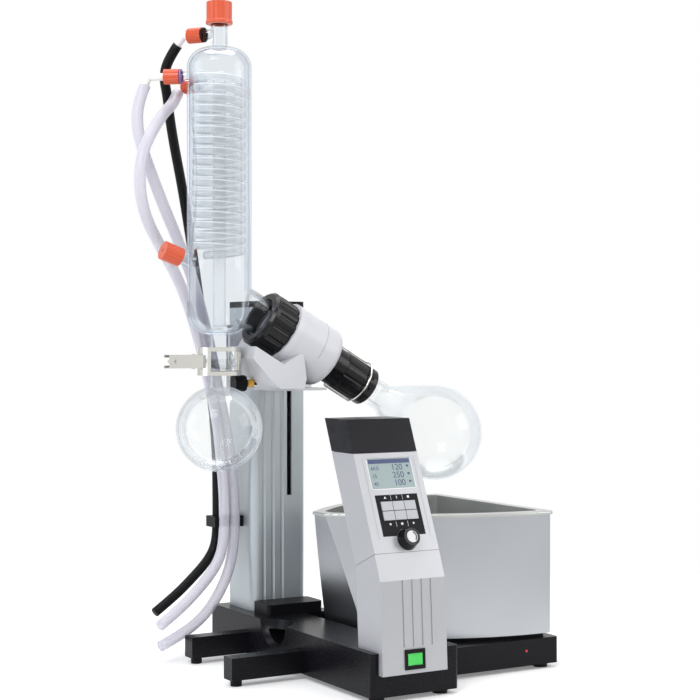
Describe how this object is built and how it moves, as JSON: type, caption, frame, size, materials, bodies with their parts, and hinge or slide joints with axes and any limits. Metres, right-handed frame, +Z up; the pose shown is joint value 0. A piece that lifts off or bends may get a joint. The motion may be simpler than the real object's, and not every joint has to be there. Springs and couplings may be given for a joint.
{
  "type": "rotary evaporator",
  "caption": "Bench rotary evaporator: black base with silver lift column, tilted drive head, glass condenser and flasks, sloping console and steel heating bath",
  "frame": {"origin": "on the bench, under the middle of the part's box without its hoses", "axes": "+Z up, +X to the right along the base's front edge, +Y away from the user"},
  "size_m": [0.5093, 0.4316, 0.8225],
  "materials": {
    "black_casting": "satin black paint",
    "black_plastic": "satin",
    "black_gloss": "semi-gloss",
    "black_rubber": "matt",
    "column_alu": "satin anodised",
    "machined_alu": "machined",
    "steel": "ground",
    "motor_black": "satin",
    "bronze": "plain",
    "head_grey": "fine satin",
    "flange_grey": "satin",
    "clear_glass": "clear",
    "coil_glass": "clear with white lines",
    "cap_orange": "satin gloss",
    "white_plastic": "satin",
    "milky_hose": "soft, braided",
    "nickel": "polished",
    "console_silver": "silver satin",
    "console_dark": "semi-gloss",
    "lcd": "glossy",
    "key_grey": "satin",
    "knob_black": "semi-gloss",
    "board_green": "solder mask",
    "green_lens": "translucent",
    "bath_steel": "brushed stainless",
    "heater_dark": "dark"
  },
  "bodies": {
    "base": {"base_casting": "black_casting", "rubber_feet": "black_rubber", "support_legs": "black_casting", "mains_inlet": "black_plastic", "column": "column_alu", "column_trim": "black_plastic", "lift_motor": "motor_black", "lift_guides": "steel", "console_stand": "console_silver", "switch_bezel": "black_plastic", "console_body": "console_silver", "console_cap": "console_dark", "display_window": "lcd", "keypad_panel": "black_plastic", "control_board": "board_green", "bath_shell": "bath_steel", "bath_tank": "bath_steel", "bath_heater": "heater_dark", "bath_base": "black_casting"},
    "screw": {"lead_screw": "steel"},
    "head": {"carriage": "machined_alu", "carriage_bushes": "bronze", "head_housing": "head_grey", "bearings": "steel", "drive_motor": "motor_black", "drive_belt": "black_rubber", "flange_ring": "flange_grey", "shaft_seal": "black_rubber", "condenser": "clear_glass", "cooling_coil": "coil_glass", "hose_elbows": "white_plastic", "vacuum_hose": "black_rubber", "water_hose_one": "milky_hose", "water_hose_two": "milky_hose", "receiver_flask": "clear_glass", "clamp_jaw_front": "nickel", "clamp_pins": "nickel"},
    "rotor": {"hollow_shaft": "steel", "chuck": "black_gloss", "vapour_duct": "clear_glass", "evaporating_flask": "clear_glass"},
    "bail": {"flask_bail": "nickel"},
    "drive_pulley": {"motor_pulley": "machined_alu"},
    "ring_nut": {"ring_nut": "black_gloss"},
    "top_cap": {"top_cap": "cap_orange"},
    "vacuum_cap": {"vacuum_cap": "cap_orange"},
    "water_cap_one": {"water_cap_one": "cap_orange"},
    "water_cap_two": {"water_cap_two": "cap_orange"},
    "blank_cap": {"blank_cap": "cap_orange"},
    "clamp_jaw_back": {"clamp_jaw_back": "nickel"},
    "clamp_nut": {"clamp_nut": "nickel"},
    "lock_knob": {"lock_knob": "black_plastic"},
    "rocker": {"switch_rocker": "green_lens"},
    "selector": {"selector_knob": "knob_black"},
    "key_1": {"key_1": "key_grey"},
    "key_2": {"key_2": "key_grey"},
    "key_3": {"key_3": "key_grey"},
    "key_4": {"key_4": "key_grey"},
    "key_5": {"key_5": "key_grey"},
    "key_6": {"key_6": "key_grey"}
  },
  "joints": [
    {"name": "lift", "type": "slide", "parent": "base", "child": "head", "axis": [0, 0, 1], "range_m": [-0.13, 0], "deforming": ["vacuum_hose", "water_hose_one", "water_hose_two"]},
    {"name": "screw_turn", "type": "hinge", "parent": "base", "child": "screw", "pos_m": [-0.01292, 0.16277, 0.2], "axis": [0, 0, 1], "continuous": true},
    {"name": "flask_spin", "type": "hinge", "parent": "head", "child": "rotor", "pos_m": [-0.03551, -0.00623, 0.399], "axis": [0.866, 0, -0.5], "continuous": true},
    {"name": "pulley_spin", "type": "hinge", "parent": "head", "child": "drive_pulley", "pos_m": [-0.0511, 0.06977, 0.408], "axis": [0.866, 0, -0.5], "continuous": true},
    {"name": "ring_nut_turn", "type": "hinge", "parent": "head", "child": "ring_nut", "pos_m": [-0.09613, -0.00623, 0.434], "axis": [0.866, 0, -0.5], "continuous": true},
    {"name": "bail_swing", "type": "hinge", "parent": "rotor", "child": "bail", "pos_m": [-0.00542, -0.00623, 0.38162], "axis": [0.5, 0, 0.866], "range_deg": [-25, 0]},
    {"name": "top_cap_turn", "type": "hinge", "parent": "head", "child": "top_cap", "pos_m": [-0.16542, -0.00623, 0.8], "axis": [0, 0, 1], "continuous": true},
    {"name": "vacuum_cap_turn", "type": "hinge", "parent": "head", "child": "vacuum_cap", "pos_m": [-0.18836, 0.02653, 0.785], "axis": [-0.5736, 0.8192, 0], "continuous": true},
    {"name": "water_cap_one_turn", "type": "hinge", "parent": "head", "child": "water_cap_one", "pos_m": [-0.19694, 0.01839, 0.734], "axis": [-0.788, 0.6157, 0], "continuous": true},
    {"name": "water_cap_two_turn", "type": "hinge", "parent": "head", "child": "water_cap_two", "pos_m": [-0.17441, 0.03274, 0.728], "axis": [-0.225, 0.9744, 0], "continuous": true},
    {"name": "blank_cap_turn", "type": "hinge", "parent": "head", "child": "blank_cap", "pos_m": [-0.203, -0.00623, 0.50768], "axis": [-0.9397, 0, 0.342], "continuous": true},
    {"name": "clamp_open", "type": "hinge", "parent": "head", "child": "clamp_jaw_back", "pos_m": [-0.20042, -0.00623, 0.3885], "axis": [0, 0, 1], "range_deg": [0, 10]},
    {"name": "clamp_nut_turn", "type": "hinge", "parent": "head", "child": "clamp_nut", "pos_m": [-0.22542, -0.00863, 0.3885], "axis": [0, 1, 0], "continuous": true},
    {"name": "lock_turn", "type": "hinge", "parent": "head", "child": "lock_knob", "pos_m": [-0.13042, 0.01177, 0.361], "axis": [1, 0, 0], "continuous": true},
    {"name": "rocker_tilt", "type": "hinge", "parent": "base", "child": "rocker", "pos_m": [-0.01772, -0.20933, 0.04798], "axis": [0, 0.056, 0.9984], "range_deg": [-5, 5]},
    {"name": "selector_turn", "type": "hinge", "parent": "base", "child": "selector", "pos_m": [-0.01382, -0.19503, 0.18457], "axis": [0, -0.9198, 0.3923], "continuous": true},
    {"name": "key_1_press", "type": "slide", "parent": "base", "child": "key_1", "axis": [0, -0.9198, 0.3923], "range_m": [-0.0008, 0], "stiffness_N_per_m": 300},
    {"name": "key_2_press", "type": "slide", "parent": "base", "child": "key_2", "axis": [0, -0.9198, 0.3923], "range_m": [-0.0008, 0], "stiffness_N_per_m": 300},
    {"name": "key_3_press", "type": "slide", "parent": "base", "child": "key_3", "axis": [0, -0.9198, 0.3923], "range_m": [-0.0008, 0], "stiffness_N_per_m": 300},
    {"name": "key_4_press", "type": "slide", "parent": "base", "child": "key_4", "axis": [0, -0.9198, 0.3923], "range_m": [-0.0008, 0], "stiffness_N_per_m": 300},
    {"name": "key_5_press", "type": "slide", "parent": "base", "child": "key_5", "axis": [0, -0.9198, 0.3923], "range_m": [-0.0008, 0], "stiffness_N_per_m": 300},
    {"name": "key_6_press", "type": "slide", "parent": "base", "child": "key_6", "axis": [0, -0.9198, 0.3923], "range_m": [-0.0008, 0], "stiffness_N_per_m": 300}
  ],
  "couplings": [
    {"joint": "screw_turn", "follows": "lift", "rad_per_m": 1256.6},
    {"joint": "pulley_spin", "follows": "flask_spin", "ratio": 2.1667}
  ]
}
